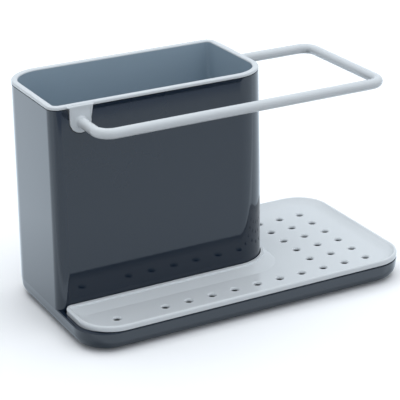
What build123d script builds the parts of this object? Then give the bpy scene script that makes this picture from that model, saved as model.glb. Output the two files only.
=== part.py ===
from build123d import *
import os

# Kitchen sink caddy: a low base tray and a tall tank in one dark moulding, a light cup that hangs in the tank
# with a round rail for a cloth, and a perforated light tray that lies in the base. Millimetres, +Z up.
# The origin is on the surface that the caddy stands on, under the middle of its base. Front is -Y.

# Overall plan
length = 205.0
depth = 110.0
corner_radius = 20.0

# Feet
foot_diameter = 12.0
foot_height = 2.0
foot_standoff = 0.6
foot_inset = 24.0
foot_gap = 0.1
foot_edge_radius = 0.4

# Base tray of the body shell
base_height = 12.0
base_lean = 0.9
base_floor = 2.6
base_wall = 2.5
base_bottom_radius = 7.0
hollow_slope = 3.5

# Tank of the body shell, set back at its foot from the base's right and front; its walls lean inwards going up
tank_right_setback = 69.8
tank_front_setback = 37.2
tank_top = 126.3
tank_lean = 1.0
tank_wall = 1.8
tank_inner_lean = 0.5
tank_wide_radius = 22.0
tank_tight_radius = 7.0
least_inner_radius = 2.5

# Cup that hangs in the tank
cup_gap = 0.3
cup_seat_gap = 0.3
cup_wall = 1.4
cup_floor = 2.0
cup_bottom = 12.0
cup_lean = 0.9
rim_height = 1.8
rim_overhang = 0.1
rim_edge_radius = 0.7
drain_diameter = 5.0
drain_pitch = 20.0
drain_columns = 5
drain_rows = 3

# Tabs of the cup that carry the rail, in notches of the tank's wall
tab_width = 12.4
tab_proud = 1.0
tab_edge_radius = 0.7
notch_gap = 0.4
front_tab_from_left = 17.6
side_tab_from_back = 19.4

# Cloth rail
rail_diameter = 5.8
rail_drop = 7.5
rail_bend_radius = 8.0
rail_from_front = 12.2
rail_from_right = 14.4
spigot_diameter = 4.0
spigot_length = 3.0
socket_gap = 0.1
socket_spare = 0.2

# Drip tray, with a collar round the tank's foot
tray_left = 2.8
tray_top = 15.5
tray_seat_gap = 0.3
tray_floor_top = 12.8
tray_floor = 2.2
tray_gap = 0.3
tray_tank_gap = 0.3
tray_rim_width = 2.2
tray_edge_radius = 0.7
tray_end_radius = 3.2
collar_width = 3.6
collar_side_width = 2.0
cove_width = 9.0
cove_front_width = 3.5
cove_left_width = 6.0
ramp_front_width = 7.5
ramp_side_width = 1.0
ramp_corner_radius = 14.0

# Shares of the cove's width at which its curve is cut into flats, from its foot outwards
cove_shares = (0.0, 0.4, 0.7, 1.0)

# Drain holes of the tray, on one square grid counted from its right column and front row
hole_diameter = 4.4
hole_mouth_diameter = 5.2
hole_pitch = 14.55
hole_from_right = 21.5
hole_from_front = 14.5
hole_from_back = 17.0
hole_from_tank = 9.0
hole_from_left = 18.0

# Height by which the notches pass out of the tank's mouth
overrun = 1.0

# Sides of the plan, and heights
left = -length / 2
right = length / 2
front = -depth / 2
back = depth / 2
tank_right = right - tank_right_setback
tank_front = front + tank_front_setback
base_floor_top = foot_standoff + base_floor
rim_bottom = tank_top + cup_seat_gap
rim_top = rim_bottom + rim_height
rail_height = tank_top - rail_drop


def box_outline(x0, x1, y0, y1, radii, mode=Mode.ADD):
    """Draws a rectangle with its own radius at the front left, front right, back right and back left corner."""
    with BuildLine() as outline:
        FilletPolyline([(x0, y0), (x1, y0), (x1, y1), (x0, y1)], radius=radii, close=True)
    make_face(outline.line.edges(), mode=mode)


def tank_outline(inset, mode=Mode.ADD):
    """Draws the tank's plan, drawn in by one distance all round from its foot."""
    wide = tank_wide_radius - inset
    tight = max(tank_tight_radius - inset, least_inner_radius)
    box_outline(left + inset, tank_right - inset, tank_front + inset, back - inset, (tight, wide, tight, wide), mode)


def base_outline(inset, mode=Mode.ADD):
    """Draws the base's plan, drawn in by one distance all round."""
    base_corner = corner_radius - inset
    tank_corner = tank_wide_radius - inset
    radii = (base_corner, base_corner, base_corner, tank_corner)
    box_outline(left + inset, right - inset, front + inset, back - inset, radii, mode)


def tray_outline(sides, inner_corner, outer_radius, inner_radius, end_radius):
    """Draws the tray's L-shaped plan from its left, right, front and back and the corner beside the tank."""
    x0, x1, y0, y1 = sides
    inner_x, inner_y = inner_corner
    points = [(x0, y0), (x1, y0), (x1, y1), (inner_x, y1), (inner_x, inner_y), (x0, inner_y)]
    radii = (outer_radius, outer_radius, outer_radius, end_radius, inner_radius, end_radius)
    with BuildLine() as outline:
        FilletPolyline(points, radius=radii, close=True)
    make_face(outline.line.edges())


def tab_profile(radius, across, top):
    """Draws a tab seen square on: straight sides down from its top, and a half round foot at the rail's height."""
    low_left = (across - radius, rail_height)
    low_right = (across + radius, rail_height)
    with BuildLine() as outline:
        Polyline(low_left, (across - radius, top), (across + radius, top), low_right)
        ThreePointArc(low_right, (across, rail_height - radius), low_left)
    make_face(outline.line.edges())


def rail_disc(across, diameter):
    """Draws a round section of the rail, seen square on at one of its ends."""
    with Locations((across, rail_height)):
        Circle(diameter / 2)


# Places of the rail's legs and of the tabs
front_tab_x = left + front_tab_from_left
side_tab_y = back - side_tab_from_back
rail_front_y = front + rail_from_front
rail_right_x = right - rail_from_right
tab_radius = tab_width / 2
notch_radius = tab_radius + notch_gap

# Outer faces of the tabs, which stand proud of the leaning walls at the rail's height
wall_inset = tank_lean * (rail_height - base_height) / (tank_top - base_height)
front_tab_face = tank_front + wall_inset - tab_proud
side_tab_face = tank_right - wall_inset + tab_proud

# Insets from the tank's foot outline
mouth_inset = tank_lean + tank_wall
well_inset = mouth_inset + tank_inner_lean
cup_outer_inset = mouth_inset + cup_gap
cup_inner_inset = cup_outer_inset + cup_wall
rim_inset = tank_lean - rim_overhang
tab_root_inset = cup_outer_inset + cup_wall / 2

# Planes on the tabs' outer faces, and the depth from them to the middle of the cup's wall
front_tab_plane = Plane(origin=(0, front_tab_face, 0), x_dir=(1, 0, 0), z_dir=(0, -1, 0))
side_tab_plane = Plane(origin=(side_tab_face, 0, 0), x_dir=(0, 1, 0), z_dir=(1, 0, 0))
front_tab_depth = tank_front + tab_root_inset - front_tab_face
side_tab_depth = side_tab_face - tank_right + tab_root_inset
socket_depth = spigot_length + socket_spare

# Body shell: the base block with a bowl-like lower edge
with BuildPart() as body_shell:
    with BuildSketch(Plane.XY.offset(foot_standoff)):
        base_outline(base_lean)
    with BuildSketch(Plane.XY.offset(base_height)):
        base_outline(0)
    loft(ruled=True)
    fillet(body_shell.faces().sort_by(Axis.Z)[0].edges(), base_bottom_radius)

    # Hollow of the base, where the drip tray lies and the water gathers, with a sloping lower edge
    with BuildSketch(Plane.XY.offset(base_floor_top)):
        base_outline(base_wall + hollow_slope)
    with BuildSketch(Plane.XY.offset(base_floor_top + hollow_slope)):
        base_outline(base_wall)
    loft(ruled=True, mode=Mode.SUBTRACT)
    with BuildSketch(Plane.XY.offset(base_floor_top + hollow_slope)):
        base_outline(base_wall)
    extrude(amount=base_height, mode=Mode.SUBTRACT)

    # Foot of the tank, which fills the hollow's back left part
    with BuildSketch(Plane.XY.offset(base_floor_top)):
        tank_outline(0)
        base_outline(base_wall, mode=Mode.INTERSECT)
    extrude(amount=base_height - base_floor_top)

    # Tank, leaning inwards from its foot to its mouth
    with BuildSketch(Plane.XY.offset(base_height)):
        tank_outline(0)
    with BuildSketch(Plane.XY.offset(tank_top)):
        tank_outline(tank_lean)
    loft(ruled=True)

    # Well of the tank
    with BuildSketch(Plane.XY.offset(base_floor_top)):
        tank_outline(well_inset)
    with BuildSketch(Plane.XY.offset(tank_top)):
        tank_outline(mouth_inset)
    loft(ruled=True, mode=Mode.SUBTRACT)

    # Notches that the cup's tabs drop into
    with BuildSketch(front_tab_plane):
        tab_profile(notch_radius, front_tab_x, tank_top + overrun)
    extrude(amount=-front_tab_depth, mode=Mode.SUBTRACT)
    with BuildSketch(side_tab_plane):
        tab_profile(notch_radius, side_tab_y, tank_top + overrun)
    extrude(amount=-side_tab_depth, mode=Mode.SUBTRACT)

    # Seats of the feet
    with BuildSketch(Plane.XY.offset(foot_standoff)):
        with GridLocations(length - 2 * foot_inset, depth - 2 * foot_inset, 2, 2):
            Circle(foot_diameter / 2 + foot_gap)
    extrude(amount=foot_height - foot_standoff, mode=Mode.SUBTRACT)
body_shell.part.label = "body_shell"
os.makedirs("parts", exist_ok=True)
export_step(body_shell.part, "parts/body_shell.step")

# Cup: leaning walls, tabs at the front and right, and a rim that covers the tank's edge
with BuildPart() as inner_cup:
    with BuildSketch(Plane.XY.offset(cup_bottom)):
        tank_outline(cup_outer_inset + cup_lean)
    with BuildSketch(Plane.XY.offset(rim_bottom)):
        tank_outline(cup_outer_inset)
    loft(ruled=True)
    with BuildSketch(front_tab_plane):
        tab_profile(tab_radius, front_tab_x, rim_bottom)
    extrude(amount=-front_tab_depth)
    with BuildSketch(side_tab_plane):
        tab_profile(tab_radius, side_tab_y, rim_bottom)
    extrude(amount=-side_tab_depth)
    fillet(inner_cup.faces().sort_by(Axis.Y)[0].edges().filter_by(Axis.X, reverse=True), tab_edge_radius)
    fillet(inner_cup.faces().sort_by(Axis.X)[-1].edges().filter_by(Axis.Y, reverse=True), tab_edge_radius)
    with BuildSketch(Plane.XY.offset(rim_bottom)):
        tank_outline(rim_inset)
    extrude(amount=rim_height)

    # Inside of the cup, open at the top
    with BuildSketch(Plane.XY.offset(cup_bottom + cup_floor)):
        tank_outline(cup_inner_inset + cup_lean)
    with BuildSketch(Plane.XY.offset(rim_top)):
        tank_outline(cup_inner_inset)
    loft(ruled=True, mode=Mode.SUBTRACT)
    fillet(inner_cup.faces().sort_by(Axis.Z)[-1].edges(), rim_edge_radius)

    # Drain holes in the floor
    with BuildSketch(Plane.XY.offset(cup_bottom)):
        with Locations(((left + tank_right) / 2, (tank_front + back) / 2)):
            with GridLocations(drain_pitch, drain_pitch, drain_columns, drain_rows):
                Circle(drain_diameter / 2)
    extrude(amount=cup_floor, mode=Mode.SUBTRACT)

    # Sockets of the rail
    with BuildSketch(front_tab_plane):
        rail_disc(front_tab_x, spigot_diameter + 2 * socket_gap)
    extrude(amount=-socket_depth, mode=Mode.SUBTRACT)
    with BuildSketch(side_tab_plane):
        rail_disc(side_tab_y, spigot_diameter + 2 * socket_gap)
    extrude(amount=-socket_depth, mode=Mode.SUBTRACT)
inner_cup.part.label = "inner_cup"
export_step(inner_cup.part, "parts/inner_cup.step")

# Cloth rail: one round bar from the front tab, round three bends, back to the side tab
rail_corners = [
    (front_tab_x, front_tab_face, rail_height),
    (front_tab_x, rail_front_y, rail_height),
    (rail_right_x, rail_front_y, rail_height),
    (rail_right_x, side_tab_y, rail_height),
    (side_tab_face, side_tab_y, rail_height),
]
with BuildPart() as cloth_rail:
    with BuildLine():
        FilletPolyline(rail_corners, radius=rail_bend_radius)
    with BuildSketch(front_tab_plane):
        rail_disc(front_tab_x, rail_diameter)
    sweep()
    with BuildSketch(front_tab_plane):
        rail_disc(front_tab_x, spigot_diameter)
    extrude(amount=-spigot_length)
    with BuildSketch(side_tab_plane):
        rail_disc(side_tab_y, spigot_diameter)
    extrude(amount=-spigot_length)
cloth_rail.part.label = "cloth_rail"
export_step(cloth_rail.part, "parts/cloth_rail.step")

# Places of the tray's edges
tray_left_x = left + tray_left
tray_inner_x = tank_right + tray_tank_gap
tray_inner_y = tank_front - tray_tank_gap
tray_inner_radius = tank_wide_radius + tray_tank_gap
tray_rim_bottom = base_height + tray_seat_gap
tray_underside = tray_floor_top - tray_floor
tray_inset = base_wall + tray_gap
dish_depth = tray_top - tray_floor_top


def dish_outline(share):
    """Draws the edge of the tray's dish at one share of its cove's width, from its foot at 0 to the rim at 1."""
    rest = 1 - share
    side_inset = tray_rim_width + cove_width * rest
    x0 = tray_left_x + tray_rim_width + cove_left_width * rest
    y0 = front + tray_rim_width + cove_front_width * rest
    inner_x = tray_inner_x + collar_side_width + ramp_side_width * rest
    inner_y = tray_inner_y - collar_width - ramp_front_width * rest
    inner_radius = (tray_inner_radius + collar_width) * share + ramp_corner_radius * rest
    end_radius = tray_end_radius - tray_rim_width * share
    sides = (x0, right - side_inset, y0, back - side_inset)
    tray_outline(sides, (inner_x, inner_y), corner_radius - side_inset, inner_radius, end_radius)


# Columns and rows of drain holes that the floor has room for
hole_full_columns = 1 + int((tank_right_setback - hole_from_right - hole_from_tank) / hole_pitch)
hole_front_columns = 1 + int((length - hole_from_right - hole_from_left) / hole_pitch)
hole_rows = 1 + int((depth - hole_from_front - hole_from_back) / hole_pitch)

# Places of the drain holes; the front row has none beside the last at its left end
hole_places = []
for column in range(hole_front_columns):
    for row in range(hole_rows):
        if column < hole_full_columns or (row == 0 and column != hole_front_columns - 2):
            hole_x = right - hole_from_right - hole_pitch * column
            hole_y = front + hole_from_front + hole_pitch * row
            hole_places.append((hole_x, hole_y, tray_floor_top))

# Drip tray: a rim that lies over the base's walls, and a floor that hangs between them
with BuildPart() as drip_tray:
    with BuildSketch(Plane.XY.offset(tray_rim_bottom)):
        sides = (tray_left_x, right, front, back)
        tray_outline(sides, (tray_inner_x, tray_inner_y), corner_radius, tray_inner_radius, tray_end_radius)
    extrude(amount=tray_top - tray_rim_bottom)
    with BuildSketch(Plane.XY.offset(tray_underside)):
        inner_sides = (tray_left_x, right - tray_inset, front + tray_inset, back - tray_inset)
        under_radius = corner_radius - tray_inset
        tray_outline(inner_sides, (tray_inner_x, tray_inner_y), under_radius, tray_inner_radius, tray_end_radius)
    extrude(amount=tray_rim_bottom - tray_underside)
    fillet(drip_tray.faces().sort_by(Axis.Z)[-1].edges(), tray_edge_radius)

    # Dish, whose cove follows a parabola: wide at the back and right, narrow at the front, a ramp at the tank
    for inner_share, outer_share in zip(cove_shares[:-1], cove_shares[1:]):
        with BuildSketch(Plane.XY.offset(tray_floor_top + dish_depth * inner_share**2)):
            dish_outline(inner_share)
        with BuildSketch(Plane.XY.offset(tray_floor_top + dish_depth * outer_share**2)):
            dish_outline(outer_share)
        loft(ruled=True, mode=Mode.SUBTRACT)

    # Drain holes with widened mouths
    with Locations(*hole_places):
        CounterSinkHole(hole_diameter / 2, hole_mouth_diameter / 2, tray_floor)
drip_tray.part.label = "drip_tray"
export_step(drip_tray.part, "parts/drip_tray.step")

# Feet in their seats under the base
foot_x = right - foot_inset
foot_y = back - foot_inset
foot_places = {
    "foot_front_left": (-foot_x, -foot_y),
    "foot_front_right": (foot_x, -foot_y),
    "foot_back_left": (-foot_x, foot_y),
    "foot_back_right": (foot_x, foot_y),
}
for foot_name, foot_place in foot_places.items():
    with BuildPart() as foot:
        with BuildSketch():
            with Locations(foot_place):
                Circle(foot_diameter / 2)
        extrude(amount=foot_height)
        fillet(foot.faces().sort_by(Axis.Z)[0].edges(), foot_edge_radius)
    foot.part.label = foot_name
    export_step(foot.part, f"parts/{foot_name}.step")
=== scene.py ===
import math
import bmesh
import bpy
from mathutils import Matrix, Vector


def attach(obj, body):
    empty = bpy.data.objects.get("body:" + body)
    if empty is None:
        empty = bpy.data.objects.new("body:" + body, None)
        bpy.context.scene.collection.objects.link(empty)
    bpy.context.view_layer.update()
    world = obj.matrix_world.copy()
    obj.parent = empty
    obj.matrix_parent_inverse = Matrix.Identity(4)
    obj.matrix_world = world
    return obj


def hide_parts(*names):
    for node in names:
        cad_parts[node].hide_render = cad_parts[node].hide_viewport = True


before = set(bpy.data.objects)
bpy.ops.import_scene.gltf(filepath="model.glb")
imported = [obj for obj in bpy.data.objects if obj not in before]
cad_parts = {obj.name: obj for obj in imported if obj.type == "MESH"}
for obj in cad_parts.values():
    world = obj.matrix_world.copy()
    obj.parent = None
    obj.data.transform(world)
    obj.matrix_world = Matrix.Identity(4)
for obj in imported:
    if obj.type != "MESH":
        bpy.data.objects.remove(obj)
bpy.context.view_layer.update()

# Body shell: a low base tray with a tall tank on its back left part, injection moulded in one shot of dark slate
# ABS from a polished tool. The tank's walls lean in a little so that the mould lets go, and the base has a
# bowl-like lower edge. Two round-footed notches in the tank's mouth take the tabs of the cup.
mm = 0.001  # sizes are in millimetres, as in the part's own source; left is -X and front is -Y
left, right, front, back = -102.5, 102.5, -55.0, 55.0
base_corner = 20.0
underside, base_top, base_lean, bowl_radius, base_edge = 0.6, 12.0, 0.9, 7.0, 0.8
tank_right, tank_front = 32.7, -17.8
tank_wide, tank_tight, least_radius = 22.0, 7.0, 2.5
tank_top, tank_lean, tank_wall, barrel = 126.3, 1.0, 1.8, 0.55
hollow_floor, hollow_wall, hollow_fillet = 3.2, 2.5, 4.5
well_floor, well_lean, well_fillet = hollow_floor + 0.4, 0.5, 2.0


def rounded(corners, radii, steps=12):
    """The points of a closed outline with rounded corners, the same number of points at each corner."""
    points = []
    for i, radius in enumerate(radii):
        corner = Vector(corners[i])
        to_last = (Vector(corners[i - 1]) - corner).normalized()
        to_next = (Vector(corners[(i + 1) % len(corners)]) - corner).normalized()
        half = to_last.angle(to_next) / 2
        centre = corner + (to_last + to_next).normalized() * radius / math.sin(half)
        first = corner + to_last * radius / math.tan(half) - centre
        last = corner + to_next * radius / math.tan(half) - centre
        start = math.atan2(first.y, first.x)
        sweep = (math.atan2(last.y, last.x) - start + math.pi) % (2 * math.pi) - math.pi
        for step in range(steps + 1):
            angle = start + sweep * step / steps
            points.append((centre.x + radius * math.cos(angle), centre.y + radius * math.sin(angle)))
    return points


def box_ring(x0, x1, y0, y1, radii, z):
    """A level ring round a box whose corners have their own radii, from the front left anticlockwise."""
    return [(x, y, z) for x, y in rounded([(x0, y0), (x1, y0), (x1, y1), (x0, y1)], radii)]


def tank_ring(inset, z, outer=0.0, bulge=0.0):
    """The tank's plan, drawn in from its foot, and further at the base's own sides: two wide and two tight corners."""
    wide, tight = tank_wide - inset, max(tank_tight - inset, least_radius)
    return box_ring(left + inset + outer, tank_right - inset, tank_front + inset - bulge, back - inset - outer,
                    (tight, wide, tight, wide), z)


def base_ring(inset, z):
    """The base's plan, drawn in from its top edge."""
    radii = (base_corner - inset, base_corner - inset, base_corner - inset, tank_wide - inset)
    return box_ring(left + inset, right - inset, front + inset, back - inset, radii, z)


def arc(turns, radius, from_degrees, to_degrees):
    """Points along part of a circle, as pairs of cosine and sine times its radius."""
    for turn in range(turns + 1):
        angle = math.radians(from_degrees + (to_degrees - from_degrees) * turn / turns)
        yield radius * math.cos(angle), radius * math.sin(angle)


def stand(name, data):
    """Stands a mesh, lamp or camera in the scene as an object."""
    made = bpy.data.objects.new(name, data)
    bpy.context.scene.collection.objects.link(made)
    return made


def skin(name, rings):
    """A closed mesh over a stack of rings with the same number of points in each, and a flat cap at both ends."""
    shape = bmesh.new()
    loops = [[shape.verts.new([mm * value for value in point]) for point in ring] for ring in rings]
    for low, high in zip(loops, loops[1:]):
        for i in range(len(low)):
            shape.faces.new((low[i - 1], low[i], high[i], high[i - 1]))
    caps = [shape.faces.new(list(reversed(loops[0]))), shape.faces.new(loops[-1])]
    bmesh.ops.triangulate(shape, faces=caps)
    if shape.calc_volume(signed=True) < 0:
        bmesh.ops.reverse_faces(shape, faces=shape.faces)
    mesh = bpy.data.meshes.new(name)
    shape.to_mesh(mesh)
    shape.free()
    return stand(name, mesh)


def settle(piece):
    """Makes what a piece's modifiers show its plain mesh."""
    made = bpy.data.meshes.new_from_object(piece.evaluated_get(bpy.context.evaluated_depsgraph_get()))
    made.name = piece.name
    piece.modifiers.clear()
    piece.data = made


def combine(piece, other, operation):
    """Joins another closed shape to a piece, or cuts it out, and takes the other away."""
    step = piece.modifiers.new(operation, "BOOLEAN")
    step.operation = operation
    step.solver = "MANIFOLD"
    step.object = other
    settle(piece)
    bpy.data.objects.remove(other)


def soften(piece, width):
    """Rounds a piece's sharp edges, and shades the rest smooth with the flat faces kept flat."""
    if width:
        edge = piece.modifiers.new("rounded edges", "BEVEL")
        edge.width = width * mm
        edge.segments = 3
        edge.limit_method = "ANGLE"
        edge.angle_limit = math.radians(40)
        edge.use_clamp_overlap = True
        settle(piece)
    piece.data.shade_smooth()
    piece.data.set_sharp_from_angle(angle=math.radians(50))
    flats = piece.modifiers.new("flat faces", "WEIGHTED_NORMAL")
    flats.keep_sharp = True
    flats.weight = 80
    settle(piece)


def linear(hex_colour):
    """An sRGB colour in hex as linear red, green, blue and alpha."""
    shares = [int(hex_colour[i:i + 2], 16) / 255 for i in (1, 3, 5)]
    return [s / 12.92 if s <= 0.04045 else ((s + 0.055) / 1.055) ** 2.4 for s in shares] + [1.0]


def add(tree, kind, inputs=None, **settings):
    """Adds a node with its settings; each input is a value, or the socket that feeds it."""
    made = tree.nodes.new(kind)
    for name, value in settings.items():
        setattr(made, name, value)
    for name, value in (inputs or {}).items():
        if isinstance(value, bpy.types.NodeSocket):
            tree.links.new(value, made.inputs[name])
        else:
            made.inputs[name].default_value = value
    return made


def bare_material(name):
    """A new material with an empty node tree."""
    material = bpy.data.materials.new(name)
    material.use_nodes = True
    material.node_tree.nodes.clear()
    return material


def moulded_plastic(name, colour, cloudy_colour, roughness, peel):
    """Glossy moulded ABS. A polished tool leaves a clear sheen with faint clouds where the melt cooled unevenly, a
    slight orange peel, and fine upright wiping marks that blur the sheen here and there. Sizes are across each."""
    cloud_size, mark_size, mark_stretch, peel_size, peel_depth = 30.3, 3.85, 0.15, 1.54, 0.02
    material = bare_material(name)
    tree = material.node_tree
    place = add(tree, "ShaderNodeTexCoord").outputs["Object"]
    clouds = add(tree, "ShaderNodeTexNoise", {"Vector": place, "Scale": 1 / (cloud_size * mm), "Detail": 3.0,
                                              "Roughness": 0.55})
    tint = add(tree, "ShaderNodeMix", {"Factor": clouds.outputs["Fac"], 6: linear(colour), 7: linear(cloudy_colour)},
               data_type="RGBA")
    stretched = add(tree, "ShaderNodeMapping", {"Vector": place, "Scale": (1.0, 1.0, mark_stretch)})
    wiping = add(tree, "ShaderNodeTexNoise", {"Vector": stretched.outputs["Vector"], "Scale": 1 / (mark_size * mm),
                                              "Detail": 5.0})
    gloss = add(tree, "ShaderNodeMapRange", {"Value": wiping.outputs["Fac"], "From Min": 0.35, "From Max": 0.65,
                                             "To Min": roughness * 0.85, "To Max": roughness * 1.2})
    ripple = add(tree, "ShaderNodeTexNoise", {"Vector": place, "Scale": 1 / (peel_size * mm), "Detail": 1.0})
    skin_bump = add(tree, "ShaderNodeBump", {"Height": ripple.outputs["Fac"], "Strength": peel,
                                             "Distance": peel_depth * mm})
    shader = add(tree, "ShaderNodeBsdfPrincipled", {
        "Base Color": tint.outputs[2], "Roughness": gloss.outputs["Result"], "Normal": skin_bump.outputs["Normal"],
        "IOR": 1.5})
    add(tree, "ShaderNodeOutputMaterial", {"Surface": shader.outputs["BSDF"]})
    return material


# Almost black blue by itself; the white studio in its sheen lifts it to slate, and darkens where the tray is mirrored
dark_abs = moulded_plastic("polished slate ABS", "#0E1C2C", "#101E2E", roughness=0.07, peel=0.12)

# The base as a bowl, from its flat underside up round the bowl-like edge, over the wall and down to its floor
wall_foot = base_lean * (base_top - underside - bowl_radius) / (base_top - underside)
bowl = [base_ring(wall_foot + bowl_radius - out, underside + bowl_radius + up)
        for out, up in arc(14, bowl_radius, 270, 360)]
bowl += [base_ring(base_edge - out, base_top - base_edge + up) for out, up in arc(6, base_edge, 0, 90)]
bowl.append(base_ring(hollow_wall, base_top))
bowl += [base_ring(hollow_wall + hollow_fillet - out, hollow_floor + hollow_fillet + up)
         for out, up in arc(6, hollow_fillet, 0, -90)]
shell = skin("body_shell_moulding", bowl)

# The tank, which grows out of the base: up inside the base's sides, up its own slightly barrelled outside, over its
# mouth, and down its well
tank = [tank_ring(0.0, z, inside) for z, inside in ((2.6, 3.5), (7.0, 1.6), (9.2, 0.3), (11.25, 0.0))]
wall_steps = 12
for step in range(wall_steps + 1):
    share = step / wall_steps
    tank.append(tank_ring(tank_lean * share, base_top + (tank_top - base_top) * share,
                          bulge=barrel * math.sin(math.pi * share)))
well_inset = tank_lean + tank_wall
tank.append(tank_ring(well_inset, tank_top))
for out, up in arc(4, well_fillet, 0, -90):
    tank.append(tank_ring(well_inset + well_lean + well_fillet - out, well_floor + well_fillet + up))
combine(shell, skin("tank", tank), "UNION")

# The notches, a little wider than the tabs: straight sides, a half round foot, and flared at the top
tab_width, notch_gap, tab_flare, tab_proud, notch_depth, overrun = 12.4, 0.4, 1.6, 1.0, 5.0, 1.0
rail_height, rim_bottom, rim_top = 118.8, 126.6, 128.4
front_tab_x, side_tab_y = -84.9, 35.6
wall_inset = tank_lean * (rail_height - base_top) / (tank_top - base_top)
front_face_y, side_face_x = tank_front + wall_inset - tab_proud, tank_right - wall_inset + tab_proud


def tab_outline(half_width, top):
    """A tab seen square on, anticlockwise from its top left: flared into the rim, with a half round foot."""
    points = [(-half_width - tab_flare + out, top - tab_flare + up)
              for out, up in arc(6, tab_flare, 90, 0)]
    points += [(out, rail_height + up) for out, up in arc(24, half_width, 180, 360)]
    points += [(half_width + tab_flare - out, top - tab_flare + up)
               for out, up in arc(6, tab_flare, 0, 90)]
    return points


def front_ring(points, y):
    """An outline at the front tab, upright and facing forwards."""
    return [(front_tab_x + across, y, z) for across, z in points]


def side_ring(points, x):
    """An outline at the side tab, upright and facing right."""
    return [(x, side_tab_y + across, z) for across, z in points]


notch = tab_outline(tab_width / 2 + notch_gap, tank_top)
notch += [(notch[-1][0], tank_top + overrun), (notch[0][0], tank_top + overrun)]
front_notch = [front_ring(notch, front_face_y - overrun), front_ring(notch, tank_front + notch_depth)]
side_notch = [side_ring(notch, side_face_x + overrun), side_ring(notch, tank_right - notch_depth)]
combine(shell, skin("notch", front_notch), "DIFFERENCE")
combine(shell, skin("notch", side_notch), "DIFFERENCE")
soften(shell, width=0.3)
shell.data.materials.clear()
shell.data.materials.append(dark_abs)
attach(shell, "base")
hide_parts("body_shell")

# Feet: four round pads of black rubber, cut from sheet and pressed into shallow seats under the base. They keep the
# shapes of the solids. The rubber is matt, with a fine grain that takes the shine off its cut faces.
grain_size, grain_depth = 0.4, 0.1
foot_rubber = bare_material("matt foot rubber")
tree = foot_rubber.node_tree
place = add(tree, "ShaderNodeTexCoord").outputs["Object"]
grain = add(tree, "ShaderNodeTexNoise", {"Vector": place, "Scale": 1 / (grain_size * mm), "Detail": 2.0})
bump = add(tree, "ShaderNodeBump", {"Height": grain.outputs["Fac"], "Strength": 0.4, "Distance": grain_depth * mm})
shader = add(tree, "ShaderNodeBsdfPrincipled", {
    "Base Color": linear("#1B1C1E"), "Roughness": 0.75, "Normal": bump.outputs["Normal"]})
add(tree, "ShaderNodeOutputMaterial", {"Surface": shader.outputs["BSDF"]})
for foot_name in ("foot_front_left", "foot_front_right", "foot_back_left", "foot_back_right"):
    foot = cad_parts[foot_name]
    foot.data.materials.clear()
    foot.data.materials.append(foot_rubber)

# Drip tray: one thin L-shaped moulding in light grey-blue ABS that lies loose on the base's walls. A narrow rounded
# rim runs all round it, and on round the tank's foot as a collar with a rounded lip. Inside the rim a broad cove
# falls to the floor, and a ramp falls from the collar.
tray_left, tray_inner_x, tray_inner_y = left + 2.8, tank_right + 0.3, tank_front - 0.3
tray_top, tray_rim_bottom, tray_floor, tray_underside = 15.5, 12.3, 12.8, 10.6
plate_inset, plate_edge, rim_under_edge = 2.8, 0.3, 0.2
tray_end_radius, tray_inner_radius = 3.2, 22.3
rim_width, collar_width, collar_side_width = 2.0, 2.8, 1.6
rim_edge, collar_edge_share, lip_drop = 1.3, 0.15, 0.95
side_rim_width, cove_width, cove_front, cove_left, cove_power = 3.0, 6.5, 3.5, 5.0, 2.0
ramp_front, ramp_side, ramp_radius = 8.3, 0.8, 19.5


def tray_ring(side, fore, port, collar, collar_side, radii, z):
    """A level ring of the tray: its insets at the right and back, the front, the left end, and at the collar."""
    x0, x1, y0, y1 = tray_left + port, right - side, front + fore, back - side
    inner_x, inner_y = tray_inner_x + collar_side, tray_inner_y - collar
    corners = [(x0, y0), (x1, y0), (x1, y1), (inner_x, y1), (inner_x, inner_y), (x0, inner_y)]
    outer, inner, end = radii
    return [(x, y, z) for x, y in rounded(corners, (outer, outer, outer, end, inner, end), 16)]


def plate_ring(inset, z):
    """A ring of the plate below the rim, drawn in from its own edge."""
    side = plate_inset + inset
    return tray_ring(side, side, inset, inset, inset,
                     (base_corner - side, tray_inner_radius + inset, tray_end_radius - inset), z)


def rim_ring(side, fore, collar, z):
    """A ring on the rim, drawn in from its outer edge and from its edge beside the tank."""
    radii = (base_corner - side, tray_inner_radius + collar, tray_end_radius - fore)
    return tray_ring(side, fore, fore, collar, min(collar, collar_side_width), radii, z)


def dish_ring(share, z):
    """A ring in the dish, from the floor's edge at 0 to the rim at 1."""
    rest, slide = 1 - share, 1 - share**cove_power
    side = side_rim_width + cove_width * rest
    radii = (base_corner - side, (tray_inner_radius + collar_width) * (1 - slide) + ramp_radius * slide,
             tray_end_radius - rim_width * share)
    return tray_ring(side, rim_width + cove_front * rest, rim_width + cove_left * rest,
                     collar_width + ramp_front * slide, collar_side_width + ramp_side * slide, radii, z)


tray_rings = [plate_ring(plate_edge, tray_underside), plate_ring(0.0, tray_underside + plate_edge),
              plate_ring(0.0, tray_rim_bottom), rim_ring(rim_under_edge, rim_under_edge, 0.0, tray_rim_bottom),
              rim_ring(0.0, 0.0, 0.0, tray_rim_bottom + rim_under_edge)]
for out, up in arc(6, rim_edge, 0, 90):
    inset = rim_edge - out
    tray_rings.append(rim_ring(inset, inset, inset * collar_edge_share, tray_top - rim_edge + up))
# Down the lip: share of the rim's width, fall below its top, and distance from the right and back edges
for share, drop, side in ((0.68, 0.02, 1.4), (0.76, 0.1, 1.6), (0.83, 0.22, 1.85), (0.9, 0.42, 2.15),
                          (0.95, 0.65, 2.5), (1.0, lip_drop, side_rim_width)):
    tray_rings.append(rim_ring(side, rim_width * share, collar_width * share, tray_top - drop))
for share in (0.96, 0.91, 0.86, 0.8, 0.73, 0.66, 0.58, 0.5, 0.4, 0.3, 0.17, 0.0):
    tray_rings.append(dish_ring(share, tray_floor + (tray_top - tray_floor - lip_drop) * share**cove_power))
tray = skin("drip_tray_moulding", tray_rings)

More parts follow.
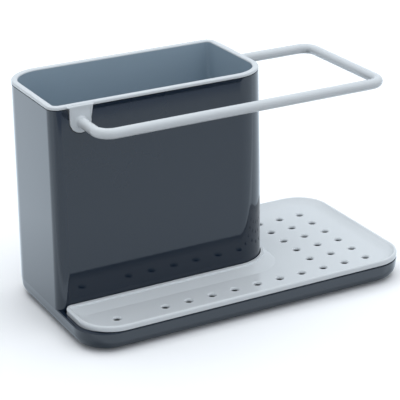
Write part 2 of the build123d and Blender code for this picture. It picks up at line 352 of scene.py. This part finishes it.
# Pale, cool and glossy, so that the tray's strip mirrors the dark tank; its colour is set a shade lighter than the
# cup's ABS
tray_abs = moulded_plastic("glossy grey-blue ABS of the tray", "#CAD1D7", "#CED5DA", roughness=0.07, peel=0.12)


def open_tree(name, sockets):
    """A geometry tree with named inputs beside its geometry, and its input node's sockets."""
    made = bpy.data.node_groups.new(name, "GeometryNodeTree")
    for socket_name, kind in (("Geometry", "Geometry"),) + sockets:
        made.interface.new_socket(socket_name, in_out="INPUT", socket_type="NodeSocket" + kind)
    made.interface.new_socket("Geometry", in_out="OUTPUT", socket_type="NodeSocketGeometry")
    return made, add(made, "NodeGroupInput").outputs


def close_tree(tree, shape, plastic):
    """Ends a geometry tree: instances made real, one material set, and out."""
    whole = add(tree, "GeometryNodeRealizeInstances", {"Geometry": shape})
    finished = add(tree, "GeometryNodeSetMaterial", {"Geometry": whole.outputs[0], "Material": plastic})
    add(tree, "NodeGroupOutput", {"Geometry": finished.outputs["Geometry"]})


def run_tree(piece, tree, **inputs):
    """Runs a geometry tree on a piece, with its inputs by name, and keeps the result as a plain mesh."""
    step = piece.modifiers.new(tree.name, "NODES")
    step.node_group = tree
    for socket in tree.interface.items_tree:
        if socket.in_out == "INPUT" and socket.name in inputs:
            step[socket.identifier] = inputs[socket.name]
    settle(piece)


# Its drain holes, on a square grid, with soft mouths. The tree punches one patch of such a grid.
punch, given = open_tree("punched drain holes", (("Hole", "Object"), ("Pitch", "Float"), ("Columns", "Int"),
                                                 ("Rows", "Int"), ("Middle", "Vector"), ("Plastic", "Material")))
lengths = []
for count in ("Columns", "Rows"):
    gaps = add(punch, "ShaderNodeMath", {0: given[count], 1: 1.0}, operation="SUBTRACT")
    lengths.append(add(punch, "ShaderNodeMath", {0: gaps.outputs[0], 1: given["Pitch"]}, operation="MULTIPLY"))
grid = add(punch, "GeometryNodeMeshGrid", {"Size X": lengths[0].outputs[0], "Size Y": lengths[1].outputs[0],
                                           "Vertices X": given["Columns"], "Vertices Y": given["Rows"]})
placed = add(punch, "GeometryNodeTransform", {"Geometry": grid.outputs["Mesh"], "Translation": given["Middle"]})
pin = add(punch, "GeometryNodeObjectInfo", {"Object": given["Hole"], "As Instance": True})
pins = add(punch, "GeometryNodeInstanceOnPoints", {"Points": placed.outputs["Geometry"],
                                                   "Instance": pin.outputs["Geometry"]})
solid_pins = add(punch, "GeometryNodeRealizeInstances", {"Geometry": pins.outputs["Instances"]})
punched = add(punch, "GeometryNodeMeshBoolean", {"Mesh 1": given["Geometry"], "Mesh 2": solid_pins.outputs[0]},
              operation="DIFFERENCE", solver="MANIFOLD")
close_tree(punch, punched.outputs["Mesh"], given["Plastic"])


def hole_pin(radius, mouth, land, turns=32):
    """The punch for one hole: a round pin whose top flares out into the hole's soft mouth, wider under the plate."""
    reach, relief, relief_slope, flare_share, pin_top = 4.0, 1.4, 0.4, 1.6, 1.0
    rings = [(radius + relief, -reach), (radius + relief, -land - relief_slope), (radius, -land)]
    rings += [(radius + mouth - out, up - mouth) for out, up in arc(5, mouth, 0, 75)]
    rings.append((radius + mouth * flare_share, pin_top))
    return skin("hole_pin", [[(r * math.cos(math.tau * i / turns), r * math.sin(math.tau * i / turns), z)
                              for i in range(turns)] for r, z in rings])


hole_pitch = 14.55
first_x, first_y = right - 21.5, front + 14.5
tray_pin = hole_pin(radius=1.9, mouth=1.2, land=1.5)
for first_column, columns, rows in ((0, 3, 6), (3, 7, 1), (11, 1, 1)):
    middle_x = first_x - hole_pitch * (first_column + (columns - 1) / 2)
    middle_y = first_y + hole_pitch * (rows - 1) / 2
    run_tree(tray, punch, Hole=tray_pin, Pitch=hole_pitch * mm, Columns=columns, Rows=rows,
             Middle=(middle_x * mm, middle_y * mm, tray_floor * mm), Plastic=tray_abs)
bpy.data.objects.remove(tray_pin)
soften(tray, width=0)
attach(tray, "tray")
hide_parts("drip_tray")

# Cup: a thin-walled box in light ABS that hangs in the tank by a rounded rim. Two tabs go down from the rim, in the
# tank's notches, and carry the rail. Its floor has drain holes.
rim_inset, cup_outer, cup_inner, cup_lean = 0.9, 3.1, 4.5, 0.9
cup_bottom, cup_floor, cup_fillet, rim_round, rim_chamfer = 12.0, 14.0, 2.0, 0.9, 0.25
cup_rings = [tank_ring(cup_outer + cup_lean + cup_fillet - out, cup_bottom + cup_fillet + up)
             for out, up in arc(4, cup_fillet, 270, 360)]
cup_rings += [tank_ring(cup_outer, rim_bottom), tank_ring(rim_inset + rim_chamfer, rim_bottom),
              tank_ring(rim_inset, rim_bottom + rim_chamfer)]
cup_rings += [tank_ring(rim_inset + rim_round - out, rim_top - rim_round + up)
              for out, up in arc(6, rim_round, 0, 90)]
cup_rings += [tank_ring(cup_inner - rim_round + out, rim_top - rim_round + up)
              for out, up in arc(6, rim_round, 90, 0)]
cup_rings += [tank_ring(cup_inner + cup_lean + cup_fillet - out, cup_floor + cup_fillet + up)
              for out, up in arc(6, cup_fillet, 0, -90)]
cup = skin("cup_moulding", cup_rings)

# The tabs, with rounded edges on their faces, which reach through the notches into the cup's wall
tab_round, tab_below_top, tab_reach = 0.7, 0.5, 3.8
front_tab, side_tab = [], []
for out, up in arc(4, tab_round, 90, 0):
    face = tab_outline(tab_width / 2 - tab_round + out, rim_top - tab_below_top - tab_round + out)
    front_tab.append(front_ring(face, front_face_y + tab_round - up))
    side_tab.append(side_ring(face, side_face_x - tab_round + up))
front_tab.append(front_ring(face, tank_front + tab_reach))
side_tab.append(side_ring(face, tank_right - tab_reach))
tabs = skin("tabs", front_tab)
combine(tabs, skin("side_tab", side_tab), "UNION")
combine(cup, tabs, "UNION")

# Pale and cool like the tray, with the same clear sheen
light_abs = moulded_plastic("glossy grey-blue ABS", "#C2C9CF", "#C6CDD2", roughness=0.07, peel=0.12)
# The cup's inside: the same light ABS, painted darker and bluer as painted shade, and a little less shiny
painted_shade_inside_abs = moulded_plastic("blue-grey ABS of the cup's inside", "#93A6B5", "#97AAB8", roughness=0.12, peel=0.2)
cup_middle_x, cup_middle_y = (left + tank_right) / 2 * mm, (tank_front + back) / 2 * mm
cup_pin = hole_pin(radius=2.5, mouth=0.3, land=1.2)
run_tree(cup, punch, Hole=cup_pin, Pitch=20 * mm, Columns=5, Rows=3,
         Middle=(cup_middle_x, cup_middle_y, cup_floor * mm), Plastic=light_abs)
bpy.data.objects.remove(cup_pin)
soften(cup, width=0.25)
cup.data.materials.clear()
cup.data.materials.append(light_abs)
cup.data.materials.append(painted_shade_inside_abs)
# Faces of the cup's inside walls and floor, below the rim, take the painted shade
floor_margin, nearly_level = 0.1, 0.9
for face in cup.data.polygons:
    height = face.center.z / mm
    inward = face.normal.x * (cup_middle_x - face.center.x) + face.normal.y * (cup_middle_y - face.center.y) > 0
    on_floor = face.normal.z > nearly_level and height < cup_floor + cup_fillet
    within = cup_floor - floor_margin < height < rim_top - rim_round
    face.material_index = 1 if within and (inward or on_floor) else 0
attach(cup, "cup")
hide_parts("inner_cup")

# Cloth rail: a round bar of the same light ABS, which leaves the front tab forwards, goes round three bends and comes
# back to the side tab. Its ends are pressed into the tabs; here a bent line is swept with a circle.
rail_front_y, rail_right_x, rail_radius, rail_bend = front + 12.2, right - 14.4, 2.9, 8.0
rail_overlap, rail_turns = 0.3, 40
bar, given = open_tree("bent round bar", (("Bend", "Float"), ("Radius", "Float"), ("Plastic", "Material")))
line = add(bar, "GeometryNodeMeshToCurve", {"Mesh": given["Geometry"]})
bent = add(bar, "GeometryNodeFilletCurve", {"Curve": line.outputs["Curve"], "Radius": given["Bend"], "Count": 16},
           mode="POLY")
section = add(bar, "GeometryNodeCurvePrimitiveCircle", {"Resolution": rail_turns, "Radius": given["Radius"]})
tube = add(bar, "GeometryNodeCurveToMesh", {"Curve": bent.outputs["Curve"], "Profile Curve": section.outputs["Curve"],
                                            "Fill Caps": True})
close_tree(bar, tube.outputs["Mesh"], given["Plastic"])
rail_points = [(front_tab_x, front_face_y + rail_overlap), (front_tab_x, rail_front_y), (rail_right_x, rail_front_y),
               (rail_right_x, side_tab_y), (side_face_x - rail_overlap, side_tab_y)]
rail_mesh = bpy.data.meshes.new("cloth_rail_bar")
rail_mesh.from_pydata([(x * mm, y * mm, rail_height * mm) for x, y in rail_points],
                      [(i, i + 1) for i in range(len(rail_points) - 1)], [])
rail = stand("cloth_rail_bar", rail_mesh)
run_tree(rail, bar, Bend=rail_bend * mm, Radius=rail_radius * mm, Plastic=light_abs)

# Each end of the bar runs into its tab with a small fillet
end_fillet, end_sink = 1.2, 0.1
end_profile = [(rail_radius + end_fillet, -rail_overlap)]
end_profile += [(rail_radius + end_fillet - up, end_fillet - out) for out, up in arc(6, end_fillet, 0, 84)]
end_profile.append((rail_radius - end_sink, end_fillet + rail_overlap))
turns = [math.tau * i / rail_turns for i in range(rail_turns)]
for ring_at, face_at, outwards in ((front_ring, front_face_y, -1), (side_ring, side_face_x, 1)):
    rings = []
    for reach, along in end_profile:
        circle = [(reach * math.cos(turn), rail_height + reach * math.sin(turn)) for turn in turns]
        rings.append(ring_at(circle, face_at + outwards * along))
    combine(rail, skin("rail_end", rings), "UNION")
soften(rail, width=0)
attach(rail, "cup")
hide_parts("cloth_rail")

# Floor: a wide sheet of white paper that runs out of sight, the plain white sweep of a small product studio. For the
# plastic's mirror images alone it carries painted reflections: a painted dim blue band in front of the caddy, a
# painted bright patch at its left, and a painted bright strip before the base.
# From here on lengths are in metres, and a pair of them says where a soft edge begins and ends.
# These set the painted reflections in the floor's mirror images: the dark band, the bright patch and the bright strip
sheet_reach, dark_band_edge = 4, (-0.375, -0.4)
bright_patch_edge, bright_patch_gain, sheet_gain = (0.1, 0.3), 0.58, 0.45
clear_edge, white_edge = (-0.004, 0.006), (0.4, 1.2)
strip_edge, strip_end, strip_gain = (-0.055, -0.06), (-0.076, -0.088), 0.5
corner_x, corner_slope = 0.1, 0.5
sheet_mesh = bpy.data.meshes.new("studio_floor")
sheet_mesh.from_pydata([(-sheet_reach, -sheet_reach, 0), (sheet_reach, -sheet_reach, 0),
                        (sheet_reach, sheet_reach, 0), (-sheet_reach, sheet_reach, 0)], [], [(0, 1, 2, 3)])
studio_floor = stand("studio_floor", sheet_mesh)
white_sheet = bare_material("white paper sweep")
tree = white_sheet.node_tree
rays = add(tree, "ShaderNodeLightPath").outputs
mirrored = rays["Is Glossy Ray"]
seen = add(tree, "ShaderNodeMath", {0: rays["Is Camera Ray"], 1: mirrored}, operation="MAXIMUM")
seen = add(tree, "ShaderNodeMath", {0: seen.outputs[0], 1: rays["Is Transmission Ray"]}, operation="MAXIMUM")
place = add(tree, "ShaderNodeTexCoord").outputs["Object"]
spot = add(tree, "ShaderNodeSeparateXYZ", {"Vector": place}).outputs

# The paper's colour: white, and in the mirror images painted reflection colour: cooler, and a painted dim blue band
# beyond a line in front of the caddy
painted_dark_band = add(tree, "ShaderNodeMapRange", {"Value": spot["Y"], "From Min": dark_band_edge[0], "From Max": dark_band_edge[1]})
painted_dark_band = add(tree, "ShaderNodeMath", {0: painted_dark_band.outputs[0], 1: mirrored}, operation="MULTIPLY")
cool = add(tree, "ShaderNodeMix", {"Factor": mirrored, 6: linear("#F7FBFF"), 7: linear("#DCE9F4")}, data_type="RGBA")
paper_colour = add(tree, "ShaderNodeMix", {"Factor": painted_dark_band.outputs[0], 6: cool.outputs[2],
                                           7: linear("#BFCEE6")}, data_type="RGBA")

# Its glow, a painted reflection seen in the mirror images only: brighter to the left and back, and none under the
# caddy, where its lack stands in for the caddy's shadow
leftward = add(tree, "ShaderNodeMath", {0: spot["Y"], 1: spot["X"]}, operation="SUBTRACT")
painted_bright_patch = add(tree, "ShaderNodeMapRange", {"Value": leftward.outputs[0], "From Min": bright_patch_edge[0],
                                            "From Max": bright_patch_edge[1]})
painted_bright_patch = add(tree, "ShaderNodeMath", {0: painted_bright_patch.outputs[0], 1: mirrored}, operation="MULTIPLY")
strength = add(tree, "ShaderNodeMath", {0: painted_bright_patch.outputs[0], 1: bright_patch_gain, 2: sheet_gain},
               operation="MULTIPLY_ADD")
past_sides = []
for axis, half_size in (("X", right), ("Y", back)):
    off_middle = add(tree, "ShaderNodeMath", {0: spot[axis]}, operation="ABSOLUTE")
    past_sides.append(add(tree, "ShaderNodeMath", {0: off_middle.outputs[0], 1: half_size * mm},
                          operation="SUBTRACT").outputs[0])
away = add(tree, "ShaderNodeMath", {0: past_sides[0], 1: past_sides[1]}, operation="MAXIMUM")
clear = add(tree, "ShaderNodeMapRange", {"Value": away.outputs[0], "From Min": clear_edge[0],
                                         "From Max": clear_edge[1]})
strength = add(tree, "ShaderNodeMath", {0: strength.outputs[0], 1: clear.outputs[0]}, operation="MULTIPLY")

# A painted bright strip in the mirror images, right before the base, which draws back at the base's front left corner
corner = add(tree, "ShaderNodeMath", {0: spot["X"], 1: corner_x}, operation="ADD")
corner = add(tree, "ShaderNodeMath", {0: corner.outputs[0], 1: 0.0}, operation="MINIMUM")
ahead = add(tree, "ShaderNodeMath", {0: corner.outputs[0], 1: corner_slope, 2: spot["Y"]},
            operation="MULTIPLY_ADD").outputs[0]
strip = add(tree, "ShaderNodeMapRange", {"Value": ahead, "From Min": strip_edge[0], "From Max": strip_edge[1],
                                         "To Min": 0.0, "To Max": strip_gain})
strip_fade = add(tree, "ShaderNodeMapRange", {"Value": ahead, "From Min": strip_end[0], "From Max": strip_end[1],
                                              "To Min": 1.0, "To Max": 0.0})
strip = add(tree, "ShaderNodeMath", {0: strip.outputs[0], 1: strip_fade.outputs[0]}, operation="MULTIPLY")
strength = add(tree, "ShaderNodeMath", {0: strength.outputs[0], 1: strip.outputs[0]}, operation="ADD")
# The painted glow shows only in the mirror images, and not within the painted dark band
glossy_before_dark_band = add(tree, "ShaderNodeMath", {0: mirrored, 1: painted_dark_band.outputs[0]}, operation="SUBTRACT")
strength = add(tree, "ShaderNodeMath", {0: strength.outputs[0], 1: glossy_before_dark_band.outputs[0]}, operation="MULTIPLY")

# For the camera it glows only far out, where the lamps no longer reach, so that low views have a white background
distance = add(tree, "ShaderNodeVectorMath", {0: place}, operation="LENGTH")
far = add(tree, "ShaderNodeMapRange", {"Value": distance.outputs["Value"], "From Min": white_edge[0],
                                       "From Max": white_edge[1]})
far = add(tree, "ShaderNodeMath", {0: far.outputs[0], 1: rays["Is Camera Ray"]}, operation="MULTIPLY")
strength = add(tree, "ShaderNodeMath", {0: strength.outputs[0], 1: far.outputs[0]}, operation="ADD")
paper = add(tree, "ShaderNodeBsdfDiffuse", {"Color": paper_colour.outputs[2]})
glow = add(tree, "ShaderNodeEmission", {"Color": linear("#E4F1FC"), "Strength": strength.outputs[0]})
# The paper with its glow: painted reflections in the mirror images, and white far out for the camera
paper_and_glow = add(tree, "ShaderNodeAddShader", {0: paper.outputs[0], 1: glow.outputs[0]})
# Grey for the light that bounces off it, so that the caddy isn't lit too much from below
grey_paper = add(tree, "ShaderNodeBsdfDiffuse", {"Color": linear("#A4A4A4")})
either = add(tree, "ShaderNodeMixShader", {0: seen.outputs[0], 1: grey_paper.outputs[0], 2: paper_and_glow.outputs[0]})
add(tree, "ShaderNodeOutputMaterial", {"Surface": either.outputs[0]})
sheet_mesh.materials.append(white_sheet)

# Studio light: a white room seen by the camera and in the gloss, a dimmer one for the fill, a little brighter to the
# front and right, and three soft boxes, given by place, aim, width and watts. The top one is kept out of the gloss,
# where the photo shows no lamp.
fill_level, fill_right, fill_back, fill_up = 0.81, 0.16, -0.25, -0.4
world = bpy.data.worlds.new("white studio")
bpy.context.scene.world = world
world.use_nodes = True
tree = world.node_tree
tree.nodes.clear()
rays = add(tree, "ShaderNodeLightPath").outputs
seen = add(tree, "ShaderNodeMath", {0: rays["Is Camera Ray"], 1: rays["Is Glossy Ray"]}, operation="MAXIMUM")
seen = add(tree, "ShaderNodeMath", {0: seen.outputs[0], 1: rays["Is Transmission Ray"]}, operation="MAXIMUM")
toward = add(tree, "ShaderNodeSeparateXYZ", {"Vector": add(tree, "ShaderNodeTexCoord").outputs["Generated"]}).outputs
level = add(tree, "ShaderNodeMath", {0: toward["X"], 1: fill_right, 2: fill_level}, operation="MULTIPLY_ADD")
level = add(tree, "ShaderNodeMath", {0: toward["Y"], 1: fill_back, 2: level.outputs[0]}, operation="MULTIPLY_ADD")
level = add(tree, "ShaderNodeMath", {0: toward["Z"], 1: fill_up, 2: level.outputs[0]}, operation="MULTIPLY_ADD")
fill = add(tree, "ShaderNodeBackground", {"Color": linear("#FAFCFF"), "Strength": level.outputs[0]})
room = add(tree, "ShaderNodeMix", {"Factor": rays["Is Glossy Ray"], 6: linear("#FFFFFF"), 7: linear("#E4F1FC")},
           data_type="RGBA")
white = add(tree, "ShaderNodeBackground", {"Color": room.outputs[2], "Strength": 1.0})
either = add(tree, "ShaderNodeMixShader", {0: seen.outputs[0], 1: fill.outputs[0], 2: white.outputs[0]})
add(tree, "ShaderNodeOutputWorld", {"Surface": either.outputs[0]})
for name, place, aim, size, power in (("left soft box", (-1.3, -0.2, 0.5), (0.0, 0.0, 0.05), 0.9, 0.5),
                                      ("top soft box", (0.05, 0.1, 1.5), (0.0, 0.0, 0.0), 2.0, 21.5),
                                      ("back soft box", (-0.2, 0.7, 1.3), (0.0, 0.0, 0.0), 1.0, 2.0)):
    lamp_data = bpy.data.lights.new(name, "AREA")
    lamp_data.size = size
    lamp_data.energy = power
    lamp = stand(name, lamp_data)
    lamp.location = place
    lamp.rotation_euler = (Vector(aim) - Vector(place)).to_track_quat("-Z", "Y").to_euler()
    lamp.visible_glossy = name != "top soft box"

# Camera: at the photograph's place, a little above the object at its front left, level but for a slight roll. Its
# place, angles and lens were solved on the photo's own edges.
camera_place = (-0.3923, -0.7244, 0.3885)
yaw, pitch, roll = math.radians(28.12), math.radians(22.28), math.radians(0.82)
forward = Vector((math.sin(yaw) * math.cos(pitch), math.cos(yaw) * math.cos(pitch), -math.sin(pitch)))
level_right = Vector((math.cos(yaw), -math.sin(yaw), 0.0))
down = forward.cross(level_right)
across = math.cos(roll) * level_right + math.sin(roll) * down
upward = math.sin(roll) * level_right - math.cos(roll) * down
camera_data = bpy.data.cameras.new("camera")
camera_data.sensor_width = 36.0
camera_data.lens = 140.23
camera_data.shift_x = -0.0027
camera_data.shift_y = -0.0003
camera = stand("camera", camera_data)
camera.matrix_world = Matrix.Translation(camera_place) @ Matrix((across, upward, -forward)).transposed().to_4x4()
bpy.context.scene.camera = camera
bpy.context.scene.view_settings.view_transform = "Standard"
